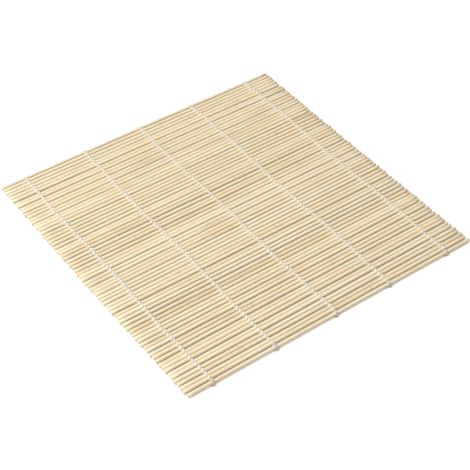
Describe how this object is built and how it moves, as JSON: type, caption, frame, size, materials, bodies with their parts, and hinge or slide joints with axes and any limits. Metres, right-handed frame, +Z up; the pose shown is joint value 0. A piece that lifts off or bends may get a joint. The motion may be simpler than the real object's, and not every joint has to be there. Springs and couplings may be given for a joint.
{
  "type": "sushi rolling mat",
  "caption": "Square mat of thin round bamboo slats twined side by side with doubled cotton cords, which rolls up round its slats.",
  "frame": {"origin": "the middle of the mat's outline, on the surface it lies on", "axes": "+X along the slats to the right, +Y from the knotted near edge to the looped far edge, +Z up"},
  "size_m": [0.2418, 0.237, 0.0038],
  "materials": {
    "bamboo": "pale raw bamboo, smooth sanded, unvarnished",
    "cotton_cord": "off-white twisted cotton"
  },
  "bodies": {
    "far_edge_strip": {"slats_01": "bamboo", "cords_01": "cotton_cord"},
    "strip_02": {"slats_02": "bamboo", "cords_02": "cotton_cord"},
    "strip_03": {"slats_03": "bamboo", "cords_03": "cotton_cord"},
    "strip_04": {"slats_04": "bamboo", "cords_04": "cotton_cord"},
    "strip_05": {"slats_05": "bamboo", "cords_05": "cotton_cord"},
    "strip_06": {"slats_06": "bamboo", "cords_06": "cotton_cord"},
    "strip_07": {"slats_07": "bamboo", "cords_07": "cotton_cord"},
    "strip_08": {"slats_08": "bamboo", "cords_08": "cotton_cord"},
    "strip_09": {"slats_09": "bamboo", "cords_09": "cotton_cord"},
    "strip_10": {"slats_10": "bamboo", "cords_10": "cotton_cord"},
    "strip_11": {"slats_11": "bamboo", "cords_11": "cotton_cord"},
    "strip_12": {"slats_12": "bamboo", "cords_12": "cotton_cord"},
    "strip_13": {"slats_13": "bamboo", "cords_13": "cotton_cord"},
    "strip_14": {"slats_14": "bamboo", "cords_14": "cotton_cord"},
    "strip_15": {"slats_15": "bamboo", "cords_15": "cotton_cord"},
    "strip_16": {"slats_16": "bamboo", "cords_16": "cotton_cord"},
    "strip_17": {"slats_17": "bamboo", "cords_17": "cotton_cord"},
    "strip_18": {"slats_18": "bamboo", "cords_18": "cotton_cord"},
    "strip_19": {"slats_19": "bamboo", "cords_19": "cotton_cord"},
    "strip_20": {"slats_20": "bamboo", "cords_20": "cotton_cord"},
    "strip_21": {"slats_21": "bamboo", "cords_21": "cotton_cord"},
    "strip_22": {"slats_22": "bamboo", "cords_22": "cotton_cord"},
    "strip_23": {"slats_23": "bamboo", "cords_23": "cotton_cord"},
    "strip_24": {"slats_24": "bamboo", "cords_24": "cotton_cord"},
    "strip_25": {"slats_25": "bamboo", "cords_25": "cotton_cord"},
    "strip_26": {"slats_26": "bamboo", "cords_26": "cotton_cord"},
    "strip_27": {"slats_27": "bamboo", "cords_27": "cotton_cord"},
    "near_edge_strip": {"slats_28": "bamboo", "cords_28": "cotton_cord"}
  },
  "joints": [
    {"name": "bend_01", "type": "hinge", "parent": "far_edge_strip", "child": "strip_02", "pos_m": [0, 0.1082, 0.00184], "axis": [-1, 0, 0], "range_deg": [0, 26.73]},
    {"name": "bend_02", "type": "hinge", "parent": "strip_02", "child": "strip_03", "pos_m": [0, 0.09815, 0.00184], "axis": [-1, 0, 0], "range_deg": [0, 27.19]},
    {"name": "bend_03", "type": "hinge", "parent": "strip_03", "child": "strip_04", "pos_m": [0, 0.0881, 0.00184], "axis": [-1, 0, 0], "range_deg": [0, 27.67]},
    {"name": "bend_04", "type": "hinge", "parent": "strip_04", "child": "strip_05", "pos_m": [0, 0.07805, 0.00184], "axis": [-1, 0, 0], "range_deg": [0, 28.17]},
    {"name": "bend_05", "type": "hinge", "parent": "strip_05", "child": "strip_06", "pos_m": [0, 0.068, 0.00184], "axis": [-1, 0, 0], "range_deg": [0, 28.7]},
    {"name": "bend_06", "type": "hinge", "parent": "strip_06", "child": "strip_07", "pos_m": [0, 0.05795, 0.00184], "axis": [-1, 0, 0], "range_deg": [0, 29.26]},
    {"name": "bend_07", "type": "hinge", "parent": "strip_07", "child": "strip_08", "pos_m": [0, 0.0479, 0.00184], "axis": [-1, 0, 0], "range_deg": [0, 29.86]},
    {"name": "bend_08", "type": "hinge", "parent": "strip_08", "child": "strip_09", "pos_m": [0, 0.03785, 0.00184], "axis": [-1, 0, 0], "range_deg": [0, 30.5]},
    {"name": "bend_09", "type": "hinge", "parent": "strip_09", "child": "strip_10", "pos_m": [0, 0.0278, 0.00184], "axis": [-1, 0, 0], "range_deg": [0, 31.18]},
    {"name": "bend_10", "type": "hinge", "parent": "strip_10", "child": "strip_11", "pos_m": [0, 0.01775, 0.00184], "axis": [-1, 0, 0], "range_deg": [0, 31.9]},
    {"name": "bend_11", "type": "hinge", "parent": "strip_11", "child": "strip_12", "pos_m": [0, 0.0077, 0.00184], "axis": [-1, 0, 0], "range_deg": [0, 32.68]},
    {"name": "bend_12", "type": "hinge", "parent": "strip_12", "child": "strip_13", "pos_m": [0, -0.00235, 0.00184], "axis": [-1, 0, 0], "range_deg": [0, 33.52]},
    {"name": "bend_13", "type": "hinge", "parent": "strip_13", "child": "strip_14", "pos_m": [0, -0.0124, 0.00184], "axis": [-1, 0, 0], "range_deg": [0, 34.43]},
    {"name": "bend_14", "type": "hinge", "parent": "strip_14", "child": "strip_15", "pos_m": [0, -0.02245, 0.00184], "axis": [-1, 0, 0], "range_deg": [0, 29.52]},
    {"name": "bend_15", "type": "hinge", "parent": "strip_15", "child": "strip_16", "pos_m": [0, -0.02915, 0.00184], "axis": [-1, 0, 0], "range_deg": [0, 24.08]},
    {"name": "bend_16", "type": "hinge", "parent": "strip_16", "child": "strip_17", "pos_m": [0, -0.03585, 0.00184], "axis": [-1, 0, 0], "range_deg": [0, 24.58]},
    {"name": "bend_17", "type": "hinge", "parent": "strip_17", "child": "strip_18", "pos_m": [0, -0.04255, 0.00184], "axis": [-1, 0, 0], "range_deg": [0, 25.12]},
    {"name": "bend_18", "type": "hinge", "parent": "strip_18", "child": "strip_19", "pos_m": [0, -0.04925, 0.00184], "axis": [-1, 0, 0], "range_deg": [0, 25.69]},
    {"name": "bend_19", "type": "hinge", "parent": "strip_19", "child": "strip_20", "pos_m": [0, -0.05595, 0.00184], "axis": [-1, 0, 0], "range_deg": [0, 26.3]},
    {"name": "bend_20", "type": "hinge", "parent": "strip_20", "child": "strip_21", "pos_m": [0, -0.06265, 0.00184], "axis": [-1, 0, 0], "range_deg": [0, 26.95]},
    {"name": "bend_21", "type": "hinge", "parent": "strip_21", "child": "strip_22", "pos_m": [0, -0.06935, 0.00184], "axis": [-1, 0, 0], "range_deg": [0, 27.66]},
    {"name": "bend_22", "type": "hinge", "parent": "strip_22", "child": "strip_23", "pos_m": [0, -0.07605, 0.00184], "axis": [-1, 0, 0], "range_deg": [0, 28.42]},
    {"name": "bend_23", "type": "hinge", "parent": "strip_23", "child": "strip_24", "pos_m": [0, -0.08275, 0.00184], "axis": [-1, 0, 0], "range_deg": [0, 29.26]},
    {"name": "bend_24", "type": "hinge", "parent": "strip_24", "child": "strip_25", "pos_m": [0, -0.08945, 0.00184], "axis": [-1, 0, 0], "range_deg": [0, 30.17]},
    {"name": "bend_25", "type": "hinge", "parent": "strip_25", "child": "strip_26", "pos_m": [0, -0.09615, 0.00184], "axis": [-1, 0, 0], "range_deg": [0, 31.17]},
    {"name": "bend_26", "type": "hinge", "parent": "strip_26", "child": "strip_27", "pos_m": [0, -0.10285, 0.00184], "axis": [-1, 0, 0], "range_deg": [0, 32.27]},
    {"name": "bend_27", "type": "hinge", "parent": "strip_27", "child": "near_edge_strip", "pos_m": [0, -0.10955, 0.00184], "axis": [-1, 0, 0], "range_deg": [0, 33.51]}
  ]
}
